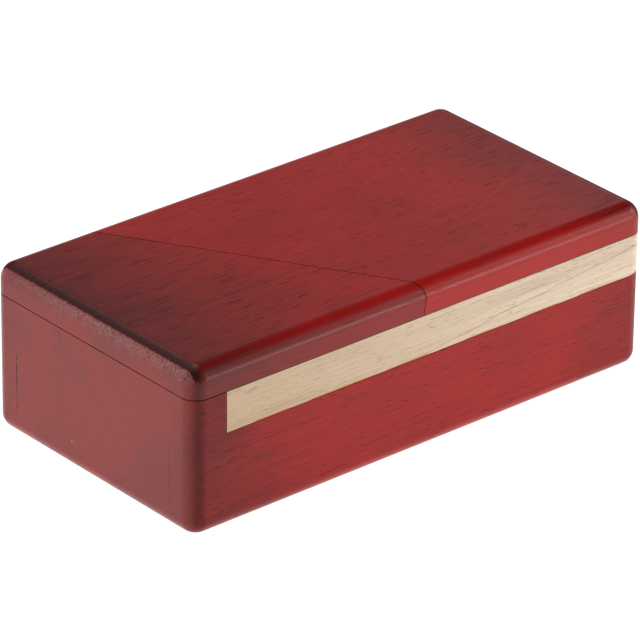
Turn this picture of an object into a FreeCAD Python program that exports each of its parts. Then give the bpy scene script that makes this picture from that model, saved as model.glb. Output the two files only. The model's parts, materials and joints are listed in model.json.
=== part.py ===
import FreeCAD, Part
import Sketcher
import os

# Wooden puzzle box with a sliding key bar and a two-piece lid cut by a diagonal seam.
# Frame: origin at the middle of the underside, +X to the right along the front, +Y to the back,
# +Z up, millimetres. The body is a tray with an upper layer glued on. The pale bar runs in that
# layer, the lid wedge slides along the seam, and the main lid swings on a dowel.

# Driving dimensions: name, value in mm or degrees, meaning
SIZES = (
    ("box_length", 133.0, "outside, left end to right end"),
    ("box_width", 70.0, "outside, front to back"),
    ("edge_round", 4.0, "roundover of the upright and the top edges"),
    ("foot_round", 3.4, "roundover of the bottom edges, less than edge_round"),
    ("floor_thickness", 5.4, "bottom board"),
    ("wall_height", 18.1, "tray walls and end blocks, above the floor"),
    ("wall_thickness", 8.0, "front and back walls"),
    ("end_thickness", 10.0, "end blocks between the walls"),
    ("layer_thickness", 10.1, "deck and rails on top of the tray"),
    ("lid_gap", 0.2, "between the lid and the layer under it"),
    ("lid_thickness", 7.3, "both lid pieces"),
    ("deck_reach", 50.5, "deck, from the left end to the right"),
    ("right_rail_width", 24.5, "rail that carries the lid pivot"),
    ("back_rail_depth", 8.0, "rail along the back"),
    ("guide_rail_depth", 9.0, "rail behind the bar"),
    ("bar_depth", 5.0, "pale bar, front to back"),
    ("bar_inset", 9.5, "left end of the box to the end of the bar"),
    ("bar_gap", 0.15, "running gap around the bar"),
    ("bar_travel", 60.0, "how far the bar draws out"),
    ("tongue_height", 6.0, "tongue on the back of the bar"),
    ("tongue_depth", 2.5, "tongue on the back of the bar"),
    ("peg_radius", 1.5, "peg that stops the bar"),
    ("peg_reach", 1.6, "how far the peg enters the tongue"),
    ("peg_side", 36.5, "right end of the box to the stop peg"),
    ("pin_radius", 1.5, "loose lock pins"),
    ("pin_length", 12.0, "loose lock pins"),
    ("pin_clearance", 0.05, "lock pin in its bore, on the radius"),
    ("pin_end_gap", 0.3, "lock pin back from the mouth of its bore"),
    ("socket_clearance", 0.2, "lock pin in its socket, on the radius"),
    ("bar_pin_inset", 7.0, "left end of the bar to its lock pin"),
    ("bar_pin_travel", 4.0, "bar lock pin, released to locked"),
    ("seam_pin_back", 17.5, "front end of the seam to its lock pin"),
    ("seam_pin_travel", 5.0, "seam lock pin, released to locked"),
    ("seam_front", 66.5, "left end to the seam, on the front"),
    ("seam_back", 23.8, "left end to the seam, on the back"),
    ("seam_gap", 0.2, "between the two lid pieces"),
    ("seam_lean", 8.0, "lean of the seam: the wedge overhangs the main lid"),
    ("wedge_travel", 28.0, "how far the wedge slides along the seam"),
    ("runner_back", 67.0, "front end of the seam to the middle of the runner"),
    ("runner_setback", 16.0, "seam to the middle line of the runner"),
    ("runner_length", 22.0, "neck of the runner, along the seam"),
    ("runner_width", 7.0, "neck of the runner"),
    ("runner_tenon", 3.0, "how far the runner is let into the wedge"),
    ("runner_gap", 0.1, "runner in its slot, each side"),
    ("cap_length", 26.0, "cap under the runner, along the seam"),
    ("cap_width", 13.0, "cap under the runner"),
    ("cap_thickness", 3.6, "cap under the runner"),
    ("cap_gap", 0.2, "cap in its pocket, each side"),
    ("runner_screw_spacing", 11.0, "between the two runner screws"),
    ("runner_screw_radius", 1.2, "shank of a runner screw"),
    ("runner_screw_length", 9.0, "runner screw, with its head"),
    ("runner_head_radius", 2.4, "countersunk head of a runner screw"),
    ("runner_head_height", 1.4, "countersunk head of a runner screw"),
    ("recess_side", 3.5, "left end to the secret recess"),
    ("recess_front", 15.0, "front to the secret recess"),
    ("recess_length", 34.0, "secret recess under the wedge"),
    ("recess_width", 7.5, "secret recess under the wedge"),
    ("recess_depth", 5.0, "secret recess under the wedge"),
    ("pivot_side", 12.5, "right end to the lid pivot"),
    ("pivot_front", 17.0, "front to the lid pivot"),
    ("pivot_radius", 4.0, "pivot dowel"),
    ("pivot_clearance", 0.075, "pivot dowel in its bore, on the radius"),
    ("pivot_tenon", 3.8, "how far the dowel is let into the lid"),
    ("counterbore_depth", 4.0, "under the rail, for the pivot washer"),
    ("washer_radius", 6.0, "pivot washer"),
    ("washer_thickness", 1.0, "pivot washer"),
    ("washer_side_gap", 0.5, "washer in its counterbore, on the radius"),
    ("washer_gap", 0.2, "between the washer and the rail"),
    ("pivot_screw_radius", 1.5, "shank of the pivot screw"),
    ("pivot_screw_length", 8.0, "shank of the pivot screw, under its head"),
    ("pivot_head_radius", 3.0, "head of the pivot screw"),
    ("pivot_head_height", 1.8, "head of the pivot screw"),
    ("driver_slot_width", 0.8, "driver slot in a screw head"),
    ("driver_slot_depth", 0.6, "driver slot in a screw head"),
    ("dowel_radius", 2.0, "glued dowels"),
    ("frame_dowel_length", 8.0, "dowel between the tray and the upper layer"),
    ("corner_dowel_length", 12.0, "dowel between a wall and an end block"),
    ("corner_dowel_rise", 3.2, "floor to the middle of a lower corner dowel"),
    ("corner_dowel_step", 4.6, "lower corner dowel to the upper one"),
)

doc = FreeCAD.newDocument("puzzle_box")
sheet = doc.addObject("Spreadsheet::Sheet", "sizes")
for row, (name, value, meaning) in enumerate(SIZES, start=1):
    sheet.set(f"A{row}", str(value))
    sheet.setAlias(f"A{row}", name)
    sheet.set(f"B{row}", meaning)
doc.recompute()

# Places that several pieces share, as expressions on the sheet
LEFT = "(-sizes.box_length / 2)"
RIGHT = "(sizes.box_length / 2)"
FRONT = "(-sizes.box_width / 2)"
BACK = "(sizes.box_width / 2)"
TRAY_TOP = "(sizes.floor_thickness + sizes.wall_height)"
LAYER_TOP = f"({TRAY_TOP} + sizes.layer_thickness)"
LAYER_MIDDLE = f"({TRAY_TOP} + sizes.layer_thickness / 2)"
LID_BASE = f"({LAYER_TOP} + sizes.lid_gap)"
LID_MIDDLE = f"({LID_BASE} + sizes.lid_thickness / 2)"
LID_TOP = f"({LID_BASE} + sizes.lid_thickness)"
WALL_INSIDE = {
    "front": f"({FRONT} + sizes.wall_thickness)",
    "back": f"({BACK} - sizes.wall_thickness)",
}
END_INSIDE = {
    "left": f"({LEFT} + sizes.end_thickness)",
    "right": f"({RIGHT} - sizes.end_thickness)",
}
WALL_MIDDLE = {
    "front": f"({FRONT} + sizes.wall_thickness / 2)",
    "back": f"({BACK} - sizes.wall_thickness / 2)",
}
END_MIDDLE = {
    "left": f"({LEFT} + sizes.end_thickness / 2)",
    "right": f"({RIGHT} - sizes.end_thickness / 2)",
}
DECK_RIGHT = f"({LEFT} + sizes.deck_reach)"
RAIL_LEFT = f"({RIGHT} - sizes.right_rail_width)"
BAR_LEFT = f"({LEFT} + sizes.bar_inset)"
BAR_BACK = f"({FRONT} + sizes.bar_depth)"
TONGUE_BACK = f"({BAR_BACK} + sizes.tongue_depth)"
GROOVE_BACK = f"({TONGUE_BACK} + sizes.bar_gap)"
GUIDE_BACK = f"({BAR_BACK} + sizes.guide_rail_depth)"
PEG_X = f"({RIGHT} - sizes.peg_side)"
BAR_PIN_X = f"({BAR_LEFT} + sizes.bar_pin_inset)"
PIVOT_X = f"({RIGHT} - sizes.pivot_side)"
PIVOT_Y = f"({FRONT} + sizes.pivot_front)"
WASHER_TOP = f"({TRAY_TOP} + sizes.counterbore_depth - sizes.washer_gap)"
WASHER_BASE = f"({WASHER_TOP} - sizes.washer_thickness)"
CAP_BASE = f"({TRAY_TOP} + sizes.cap_gap)"
CAP_TOP = f"({CAP_BASE} + sizes.cap_thickness)"
TENON_TOP = f"({LID_BASE} + sizes.runner_tenon)"

# How far a cut runs out past the face that it opens
OVERCUT = "sizes.wall_thickness"

# The seam's own directions: along it to the front, and across it to the main lid
SEAM_TURN = "(-atan2(sizes.box_width; sizes.seam_front - sizes.seam_back))"
SEAM_X = f"({LEFT} + sizes.seam_front)"
HALF_GAP = "(sizes.seam_gap / 2)"

UPRIGHT = "rotation(vector(0; 0; 1); 0)"
QUARTER_TURN = "rotation(vector(0; 0; 1); 90)"
LYING_BACK = "rotation(vector(1; 0; 0); -90)"


def place(x, y, z, turn=UPRIGHT):
    """Placement expression for a corner or an axis start in the box's own directions."""
    return f"placement(vector({x}; {y}; {z}); {turn})"


def seam_place(along, across, z, turn=UPRIGHT, lean="0"):
    """Placement expression from the front end of the seam, in the seam's directions."""
    seam_turn = f"rotation(vector(0; 0; 1); {SEAM_TURN}) * rotation(vector(1; 0; 0); {lean})"
    seam_start = place(SEAM_X, FRONT, LID_MIDDLE, seam_turn)
    return f"{seam_start} * {place(along, across, f'{z} - {LID_MIDDLE}', turn)}"


def bind(item, **expressions):
    """Tie properties of one object to expressions on the sheet."""
    for prop, expression in expressions.items():
        item.setExpression(prop, expression)
    return item


def box(name, length, width, height, placement):
    item = doc.addObject("Part::Box", name)
    return bind(item, Length=length, Width=width, Height=height, Placement=placement)


def span(name, x, y, z):
    """Box between two ends on each axis."""
    sides = [f"({high}) - ({low})" for low, high in (x, y, z)]
    return box(name, *sides, place(x[0], y[0], z[0]))


def rod(name, radius, height, placement):
    item = doc.addObject("Part::Cylinder", name)
    return bind(item, Radius=radius, Height=height, Placement=placement)


def cone(name, low_radius, high_radius, height, placement):
    item = doc.addObject("Part::Cone", name)
    return bind(item, Radius1=low_radius, Radius2=high_radius, Height=height, Placement=placement)


def fuse(name, pieces):
    item = doc.addObject("Part::MultiFuse", name)
    item.Shapes = pieces
    item.Refine = True
    return item


def cut(name, base, tools):
    item = doc.addObject("Part::Cut", name)
    item.Base = base
    item.Tool = tools[0] if len(tools) == 1 else fuse(f"{name}_tools", tools)
    return item


def common(name, base, tool):
    item = doc.addObject("Part::Common", name)
    item.Base = base
    item.Tool = tool
    return item


def group(name, pieces):
    item = doc.addObject("Part::Compound", name)
    item.Links = pieces
    return item


def trimmed(name, x, y, z):
    """Board between two ends on each axis, trimmed to the rounded outside of the box."""
    return common(name, span(f"{name}_board", x, y, z), envelope)


def routed(name, length, width, height, start):
    """Bar or slot with half-round ends; start(along, across) places it from the middle of its underside."""
    half = f"({width}) / 2"
    straight = f"({length}) - ({width})"
    ends = [f"-({straight}) / 2", f"({straight}) / 2"]
    middle = box(f"{name}_middle", straight, width, height, start(ends[0], f"-{half}"))
    rounds = [rod(f"{name}_end_{number}", half, height, start(end, "0")) for number, end in enumerate(ends)]
    return fuse(name, [middle] + rounds)


def make_envelope():
    """The closed box from outside, with its rounded edges."""
    body = doc.addObject("PartDesign::Body", "envelope")
    plane = next(item for item in body.Origin.OriginFeatures if item.Role == "XY_Plane")
    sketch = body.newObject("Sketcher::SketchObject", "outline")
    sketch.AttachmentSupport = (plane, [""])
    sketch.MapMode = "FlatFace"
    corners = [FreeCAD.Vector(x, y, 0) for x, y in ((-1, -1), (1, -1), (1, 1), (-1, 1))]
    for start, end in zip(corners, corners[1:] + corners[:1]):
        sketch.addGeometry(Part.LineSegment(start, end))
    for side, direction in enumerate(("Horizontal", "Vertical", "Horizontal", "Vertical")):
        sketch.addConstraint(Sketcher.Constraint("Coincident", side, 2, (side + 1) % 4, 1))
        sketch.addConstraint(Sketcher.Constraint(direction, side))
    sketch.addConstraint(Sketcher.Constraint("Symmetric", 0, 1, 2, 1, -1, 1))
    for side, size in ((0, "box_length"), (1, "box_width")):
        number = sketch.addConstraint(Sketcher.Constraint("Distance", side, 1))
        sketch.renameConstraint(number, size)
        sketch.setExpression(f"Constraints.{size}", f"sizes.{size}")
    pad = body.newObject("PartDesign::Pad", "block")
    pad.Profile = sketch
    pad.setExpression("Length", LID_TOP)
    doc.recompute()
    upper = rounding(body, "upper_rounding", pad, "edge_round", lambda top: top > 0)
    rounding(body, "foot_rounding", upper, "foot_round", lambda top: top <= 0)
    return body


def rounding(body, name, base, size, wanted):
    """Fillet of the edges whose highest corner is at a wanted height."""
    names = []
    for number, edge in enumerate(base.Shape.Edges, start=1):
        top = max(corner.Z for corner in edge.Vertexes)
        if wanted(round(top, 4)):
            names.append(f"Edge{number}")
    fillet = body.newObject("PartDesign::Fillet", name)
    fillet.Base = (base, names)
    fillet.setExpression("Radius", f"sizes.{size}")
    doc.recompute()
    return fillet


def make_frame_dowels():
    """Dowels between the tray and the upper layer, by the place that they hold."""
    places = {
        "front_left": (END_MIDDLE["left"], WALL_MIDDLE["front"]),
        "back_left": (END_MIDDLE["left"], WALL_MIDDLE["back"]),
        "back_right": (END_MIDDLE["right"], WALL_MIDDLE["back"]),
        "right": (END_MIDDLE["right"], "0"),
    }
    length = "sizes.frame_dowel_length"
    rods = {}
    for where, (x, y) in places.items():
        start = place(x, y, f"{TRAY_TOP} - {length} / 2")
        rods[where] = rod(f"frame_dowel_{where}", "sizes.dowel_radius", length, start)
    return rods


def make_corner_dowels():
    """Dowels between the walls and the end blocks, by wall, end and level."""
    low = "sizes.floor_thickness + sizes.corner_dowel_rise"
    levels = {"low": low, "high": f"{low} + sizes.corner_dowel_step"}
    length = "sizes.corner_dowel_length"
    rods = {}
    for side, joint in WALL_INSIDE.items():
        for end, x in END_MIDDLE.items():
            for level, z in levels.items():
                start = place(x, f"{joint} - {length} / 2", z, LYING_BACK)
                name = f"corner_dowel_{side}_{end}_{level}"
                rods[side, end, level] = rod(name, "sizes.dowel_radius", length, start)
    return rods


def make_tray():
    """Bottom board, two walls and two end blocks, bored for their dowels."""
    whole_length = (LEFT, RIGHT)
    heights = ("sizes.floor_thickness", TRAY_TOP)
    pieces = [trimmed("floor_panel", whole_length, (FRONT, BACK), ("0", "sizes.floor_thickness"))]
    walls = {
        "front": ((FRONT, WALL_INSIDE["front"]), ["front_left"]),
        "back": ((WALL_INSIDE["back"], BACK), ["back_left", "back_right"]),
    }
    for side, (depth, frame_places) in walls.items():
        blank = trimmed(f"{side}_wall_blank", whole_length, depth, heights)
        dowels = [frame_dowels[where] for where in frame_places]
        dowels += [dowel for (wall, _, _), dowel in corner_dowels.items() if wall == side]
        pieces.append(cut(f"{side}_wall", blank, dowels))
    ends = {
        "left": ((LEFT, END_INSIDE["left"]), []),
        "right": ((END_INSIDE["right"], RIGHT), ["right"]),
    }
    for end, (length, frame_places) in ends.items():
        blank = span(f"{end}_end_board", length, (WALL_INSIDE["front"], WALL_INSIDE["back"]), heights)
        dowels = [frame_dowels[where] for where in frame_places]
        dowels += [dowel for (_, block, _), dowel in corner_dowels.items() if block == end]
        pieces.append(cut(f"{end}_end_block", blank, dowels))
    return pieces


def bar_channel(name, start, end):
    """Room for the bar and for the tongue behind it, between two places along the box."""
    half = "(sizes.tongue_height / 2 + sizes.bar_gap)"
    groove_heights = (f"{LAYER_MIDDLE} - {half}", f"{LAYER_MIDDLE} + {half}")
    rebate_depth = (f"{FRONT} - {OVERCUT}", f"{BAR_BACK} + sizes.bar_gap")
    rebate = span(f"{name}_rebate", (start, end), rebate_depth, (TRAY_TOP, LAYER_TOP))
    groove = span(f"{name}_groove", (start, end), (FRONT, GROOVE_BACK), groove_heights)
    return [rebate, groove]


def on_runner(height, advance="0"):
    """Places from the middle of the runner, at a height, with the wedge moved on by advance."""
    def start(along, across):
        from_front = f"-sizes.runner_back + {advance} + {along}"
        return seam_place(from_front, f"-sizes.runner_setback + {across}", height)

    return start


def runner_room():
    """Slot for the neck of the runner and pocket for its cap, each as long as the travel needs."""
    halfway = "sizes.wedge_travel / 2"
    neck = routed(
        "neck_slot",
        "sizes.runner_length + 2 * sizes.runner_gap + sizes.wedge_travel",
        "sizes.runner_width + 2 * sizes.runner_gap",
        f"{LAYER_TOP} - {CAP_TOP} + {OVERCUT}",
        on_runner(CAP_TOP, halfway),
    )
    cap = routed(
        "cap_pocket",
        "sizes.cap_length + 2 * sizes.cap_gap + sizes.wedge_travel",
        "sizes.cap_width + 2 * sizes.cap_gap",
        "sizes.cap_thickness + 2 * sizes.cap_gap",
        on_runner(TRAY_TOP, halfway),
    )
    return [neck, cap]


def secret_recess():
    """Shallow recess in the deck that the closed wedge hides."""
    middle_x = f"{LEFT} + sizes.recess_side + sizes.recess_width / 2"
    middle_y = f"{FRONT} + sizes.recess_front + sizes.recess_length / 2"
    middle = place(middle_x, middle_y, f"{LAYER_TOP} - sizes.recess_depth", QUARTER_TURN)

    def start(along, across):
        return f"{middle} * {place(along, across, '0')}"

    return routed("secret_recess", "sizes.recess_length", "sizes.recess_width", "sizes.recess_depth", start)


def make_deck():
    """Deck under the wedge, with the room for the bar, its lock pin and the runner."""
    blank = trimmed("deck_blank", (LEFT, DECK_RIGHT), (FRONT, BACK), (TRAY_TOP, LAYER_TOP))
    pin_bore = rod(
        "bar_pin_bore",
        "sizes.pin_radius + sizes.pin_clearance",
        "sizes.bar_gap + sizes.pin_length + 2 * sizes.pin_end_gap",
        place(BAR_PIN_X, TONGUE_BACK, LAYER_MIDDLE, LYING_BACK),
    )
    tools = bar_channel("deck", f"{BAR_LEFT} - sizes.bar_gap", f"{DECK_RIGHT} + {OVERCUT}")
    tools += runner_room() + [pin_bore, secret_recess()]
    tools += [frame_dowels["front_left"], frame_dowels["back_left"]]
    return cut("left_deck", blank, tools)


def make_rails():
    """Rails along the front, the back and the right of the compartment."""
    heights = (TRAY_TOP, LAYER_TOP)
    between = (DECK_RIGHT, RAIL_LEFT)
    guide_blank = span("guide_blank", between, (FRONT, GUIDE_BACK), heights)
    peg_start = place(PEG_X, BAR_BACK, LAYER_MIDDLE, LYING_BACK)
    peg_hole = rod("peg_hole", "sizes.peg_radius", f"{GUIDE_BACK} - {BAR_BACK}", peg_start)
    guide = cut("front_guide_rail", guide_blank, bar_channel("guide", *between) + [peg_hole])

    back = trimmed("back_rail", between, (f"{BACK} - sizes.back_rail_depth", BACK), heights)

    right_blank = trimmed("right_rail_blank", (RAIL_LEFT, RIGHT), (FRONT, BACK), heights)
    pivot_foot = place(PIVOT_X, PIVOT_Y, TRAY_TOP)
    bore_radius = "sizes.pivot_radius + sizes.pivot_clearance"
    bore = rod("pivot_bore", bore_radius, "sizes.layer_thickness", pivot_foot)
    counterbore_radius = "sizes.washer_radius + sizes.washer_side_gap"
    counterbore = rod("pivot_counterbore", counterbore_radius, "sizes.counterbore_depth", pivot_foot)
    right_tools = bar_channel("right", RAIL_LEFT, f"{RIGHT} + {OVERCUT}") + [bore, counterbore]
    right_tools += [frame_dowels["back_right"], frame_dowels["right"]]
    right = cut("right_rail", right_blank, right_tools)
    return [guide, back, right]


def make_bar():
    """Pale bar with a tongue on its back, the peg that stops it and the pin that locks it."""
    length = (BAR_LEFT, RIGHT)
    strip = trimmed("bar_strip", length, (FRONT, BAR_BACK), (f"{TRAY_TOP} + sizes.bar_gap", LAYER_TOP))
    half = "sizes.tongue_height / 2"
    tongue_heights = (f"{LAYER_MIDDLE} - {half}", f"{LAYER_MIDDLE} + {half}")
    tongue = span("bar_tongue", length, (BAR_BACK, TONGUE_BACK), tongue_heights)
    room = "(sizes.peg_radius + sizes.bar_gap)"
    stop_slot = span(
        "stop_slot",
        (f"{PEG_X} - sizes.bar_travel - {room}", f"{PEG_X} + {room}"),
        (f"{TONGUE_BACK} - sizes.peg_reach - sizes.bar_gap", GROOVE_BACK),
        (f"{LAYER_MIDDLE} - {room}", f"{LAYER_MIDDLE} + {room}"),
    )
    socket = rod(
        "bar_pin_socket",
        "sizes.pin_radius + sizes.socket_clearance",
        "sizes.bar_pin_travel",
        place(BAR_PIN_X, f"{TONGUE_BACK} - sizes.bar_pin_travel", LAYER_MIDDLE, LYING_BACK),
    )
    bar = cut("key_bar", fuse("bar_blank", [strip, tongue]), [stop_slot, socket])
    peg_tip = f"({TONGUE_BACK} - sizes.peg_reach)"
    peg_start = place(PEG_X, peg_tip, LAYER_MIDDLE, LYING_BACK)
    peg = rod("bar_stop_peg", "sizes.peg_radius", f"{GUIDE_BACK} - {peg_tip}", peg_start)
    pin_start = place(BAR_PIN_X, f"{GROOVE_BACK} + sizes.pin_end_gap", LAYER_MIDDLE, LYING_BACK)
    pin = rod("bar_lock_pin", "sizes.pin_radius", "sizes.pin_length", pin_start)
    return [bar, peg, pin]


def lid_half(name, across):
    """Lid blank on one side of the leaning seam: across is where that side starts."""
    reach = "(sizes.box_length + sizes.box_width)"
    start = seam_place(f"-{reach}", across(reach), f"{LID_MIDDLE} - {reach} / 2", lean="-sizes.seam_lean")
    side = box(f"{name}_side", f"2 * {reach}", reach, reach, start)
    blank = trimmed(f"{name}_lid", (LEFT, RIGHT), (FRONT, BACK), (LID_BASE, LID_TOP))
    return common(f"{name}_blank", blank, side)


def seam_rod(name, radius, height, across):
    """Rod across the seam where the lock pin is, at the middle height of the lid."""
    start = seam_place("-sizes.seam_pin_back", across, LID_MIDDLE, turn=LYING_BACK)
    return rod(name, radius, height, start)


def driver_slot(name, head_radius, middle):
    """Slot across the underside of a screw head; middle is the head's own placement."""
    corner = place(f"-{head_radius}", "-sizes.driver_slot_width / 2", "0")
    sides = (f"2 * {head_radius}", "sizes.driver_slot_width", "sizes.driver_slot_depth")
    return box(name, *sides, f"{middle} * {corner}")


def make_runner_screw(name, side):
    """Runner screw flush with the underside of the cap, and the shank and head that bore for it."""
    start = on_runner(CAP_BASE)(f"{side} * sizes.runner_screw_spacing / 2", "0")
    shank = rod(f"{name}_shank", "sizes.runner_screw_radius", "sizes.runner_screw_length", start)
    radii = ("sizes.runner_head_radius", "sizes.runner_screw_radius")
    head = cone(f"{name}_head", *radii, "sizes.runner_head_height", start)
    slot = driver_slot(f"{name}_slot", "sizes.runner_head_radius", start)
    screw = cut(name, fuse(f"{name}_blank", [shank, head]), [slot])
    return screw, shank, head


def make_wedge():
    """Left lid piece, the runner and cap that hold it in the deck, and the seam's lock pin."""
    def neck(name, low):
        height = f"{TENON_TOP} - {low}"
        return routed(name, "sizes.runner_length", "sizes.runner_width", height, on_runner(low))

    blank = lid_half("wedge", lambda reach: f"-{HALF_GAP} - {reach}")
    bore_length = "(sizes.pin_length + 2 * sizes.pin_end_gap)"
    bore_radius = "sizes.pin_radius + sizes.pin_clearance"
    bore_reach = f"{bore_length} + {HALF_GAP} + {OVERCUT}"
    pin_bore = seam_rod("seam_pin_bore", bore_radius, bore_reach, f"-{HALF_GAP} - {bore_length}")
    wedge = cut("lid_wedge", blank, [neck("runner_mortise", LID_BASE), pin_bore])

    screws, shanks, heads = zip(*[
        make_runner_screw("back_runner_screw", -1),
        make_runner_screw("front_runner_screw", 1),
    ])
    runner = cut("wedge_runner", neck("runner_neck", CAP_TOP), shanks)
    cap_sides = ("sizes.cap_length", "sizes.cap_width", "sizes.cap_thickness")
    cap = cut("runner_cap", routed("cap_plate", *cap_sides, on_runner(CAP_BASE)), shanks + heads)

    pin_start = f"-{HALF_GAP} - sizes.pin_end_gap - sizes.pin_length"
    pin = seam_rod("seam_lock_pin", "sizes.pin_radius", "sizes.pin_length", pin_start)
    return [wedge, runner, cap, group("runner_screws", screws), pin]


def make_main_lid():
    """Right lid piece with the dowel, washer and screw that it swings on."""
    def on_pivot(z):
        return place(PIVOT_X, PIVOT_Y, z)

    blank = lid_half("main", lambda reach: HALF_GAP)
    mortise = rod("pivot_mortise", "sizes.pivot_radius", "sizes.pivot_tenon", on_pivot(LID_BASE))
    socket_radius = "sizes.pin_radius + sizes.socket_clearance"
    socket_length = f"{OVERCUT} + {HALF_GAP} + sizes.seam_pin_travel"
    socket = seam_rod("seam_pin_socket", socket_radius, socket_length, f"-{OVERCUT}")
    lid = cut("lid_main", blank, [mortise, socket])

    shank = rod("pivot_shank", "sizes.pivot_screw_radius", "sizes.pivot_screw_length", on_pivot(WASHER_BASE))
    dowel_length = f"{LID_BASE} + sizes.pivot_tenon - {WASHER_TOP}"
    dowel_blank = rod("dowel_blank", "sizes.pivot_radius", dowel_length, on_pivot(WASHER_TOP))
    dowel = cut("pivot_dowel", dowel_blank, [shank])
    disc = rod("washer_disc", "sizes.washer_radius", "sizes.washer_thickness", on_pivot(WASHER_BASE))
    washer = cut("pivot_washer", disc, [shank])
    head_base = on_pivot(f"{WASHER_BASE} - sizes.pivot_head_height")
    head = rod("pivot_head", "sizes.pivot_head_radius", "sizes.pivot_head_height", head_base)
    slot = driver_slot("pivot_driver_slot", "sizes.pivot_head_radius", head_base)
    screw = cut("pivot_screw", fuse("pivot_screw_blank", [head, shank]), [slot])
    return [lid, dowel, washer, screw]


envelope = make_envelope()
frame_dowels = make_frame_dowels()
corner_dowels = make_corner_dowels()
sub_parts = make_tray() + [make_deck()] + make_rails()
sub_parts.append(group("frame_dowels", list(frame_dowels.values())))
sub_parts.append(group("corner_dowels", list(corner_dowels.values())))
sub_parts += make_bar() + make_wedge() + make_main_lid()
doc.recompute()

for item in doc.Objects:
    if "Invalid" in item.State or "Error" in item.State:
        raise RuntimeError(f"{item.Label} failed: {item.State}")
for part in sub_parts:
    if part.Shape.isNull() or not part.Shape.isValid():
        raise RuntimeError(f"{part.Label} has no valid shape")

os.makedirs("parts", exist_ok=True)
for part in sub_parts:
    part.Shape.exportStep(f"parts/{part.Label}.step")
    print(f"{part.Label}: {len(part.Shape.Solids)} solid(s), {part.Shape.Volume:.1f} mm3")
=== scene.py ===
# %% [markdown]
# ## The box as it was built
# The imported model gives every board, pin and screw of the puzzle box at its true size and place.
# The shapes could be drawn anew here, but then they would drift away from the ones that move. So
# nothing here moves or resizes them. Lengths are in metres, the origin lies under the middle of
# the box, and +X runs along its front.

# %% Load the frame
import json
import math
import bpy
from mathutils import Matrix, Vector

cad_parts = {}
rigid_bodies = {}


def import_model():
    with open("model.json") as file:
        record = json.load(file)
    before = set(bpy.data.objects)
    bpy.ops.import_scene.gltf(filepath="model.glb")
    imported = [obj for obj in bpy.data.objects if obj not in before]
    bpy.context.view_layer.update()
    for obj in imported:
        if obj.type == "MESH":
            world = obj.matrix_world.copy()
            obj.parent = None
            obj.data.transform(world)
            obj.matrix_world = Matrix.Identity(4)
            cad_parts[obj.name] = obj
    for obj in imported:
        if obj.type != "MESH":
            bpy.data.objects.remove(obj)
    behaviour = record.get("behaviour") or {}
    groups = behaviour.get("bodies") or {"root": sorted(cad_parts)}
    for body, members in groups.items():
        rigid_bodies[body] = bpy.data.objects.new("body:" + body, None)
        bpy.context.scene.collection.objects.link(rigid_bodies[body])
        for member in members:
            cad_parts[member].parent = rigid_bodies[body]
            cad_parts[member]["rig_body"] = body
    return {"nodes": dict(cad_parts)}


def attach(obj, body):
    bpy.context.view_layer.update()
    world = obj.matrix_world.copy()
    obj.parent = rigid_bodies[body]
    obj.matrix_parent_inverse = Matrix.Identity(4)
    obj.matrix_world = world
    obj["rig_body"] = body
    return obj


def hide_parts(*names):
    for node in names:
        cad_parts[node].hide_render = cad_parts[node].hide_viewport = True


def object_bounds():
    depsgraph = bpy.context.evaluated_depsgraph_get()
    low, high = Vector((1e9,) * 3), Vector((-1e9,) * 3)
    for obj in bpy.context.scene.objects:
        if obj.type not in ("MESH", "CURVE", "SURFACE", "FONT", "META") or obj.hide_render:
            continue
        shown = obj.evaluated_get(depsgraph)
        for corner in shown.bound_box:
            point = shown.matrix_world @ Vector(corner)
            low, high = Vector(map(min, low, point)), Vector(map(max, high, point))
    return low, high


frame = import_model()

from types import SimpleNamespace
import bmesh
import bpy
from mathutils import Matrix, Vector

MM = 0.001
cad_low, cad_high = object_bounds()
box_size = cad_high - cad_low
print("box", [round(side / MM, 2) for side in box_size], "mm, nodes", len(frame["nodes"]))

# %% [markdown]
# ## The camera
# A long lens far away gives the nearly parallel edges of a product shot. The place and the three
# angles could be guessed by eye, but the straight edges of a box pin them down well, so they are
# set as measured: heading to the right of +Y, then down, then a slight roll.

# %% Camera
CAMERA_PLACE = Vector((-0.7478, -0.8661, 0.6071))
CAMERA_HEADING = math.radians(40.78)
CAMERA_DROP = math.radians(27.22)
CAMERA_ROLL = math.radians(0.742)
CAMERA_LENS = 320.0
CAMERA_SENSOR = 36.0


def make_camera():
    """The camera of the shot, as the scene's own camera."""
    data = bpy.data.cameras.new("shot")
    data.lens = CAMERA_LENS
    data.sensor_width = CAMERA_SENSOR
    camera = bpy.data.objects.new("shot", data)
    turn = Matrix.Rotation(-CAMERA_HEADING, 4, "Z")
    tilt = Matrix.Rotation(math.pi / 2 - CAMERA_DROP, 4, "X")
    roll = Matrix.Rotation(CAMERA_ROLL, 4, "Z")
    camera.matrix_world = Matrix.Translation(CAMERA_PLACE) @ turn @ tilt @ roll
    bpy.context.scene.collection.objects.link(camera)
    bpy.context.scene.camera = camera
    return camera


camera = make_camera()
print("camera", round(camera.location.length, 3), "m from the box")

# %% [markdown]
# ## Building materials from nodes
# Every finish below is a tree of shader nodes. It could be wired by hand in the node editor, but a
# tree written as text can be read, compared and run again. `add` places one node, gives it its
# settings and links or fills its inputs. All other helpers are built on it.

# %% One node


def add(tree, kind, inputs=None, **settings):
    """A shader node with its settings; each input is a value or another node's socket."""
    made = tree.nodes.new(f"ShaderNode{kind}")
    for name, value in settings.items():
        setattr(made, name, value)
    for key, value in (inputs or {}).items():
        socket = made.inputs[key]
        if isinstance(value, bpy.types.NodeSocket):
            tree.links.new(value, socket)
        else:
            socket.default_value = value
    return made


print("helper for a node ready")

# %% [markdown]
# ## Sums, steps and mixes
# A finish is worked out like a recipe: add two amounts, let something fade in over a range, mix two
# colours. Each of these is one node. They could be placed with `add` every time, but these four
# words say what happens. Many sizes below are pairs made for `ramp`: where a smooth step begins and
# where it ends. Four numbers also give the results at the two ends.

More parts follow.
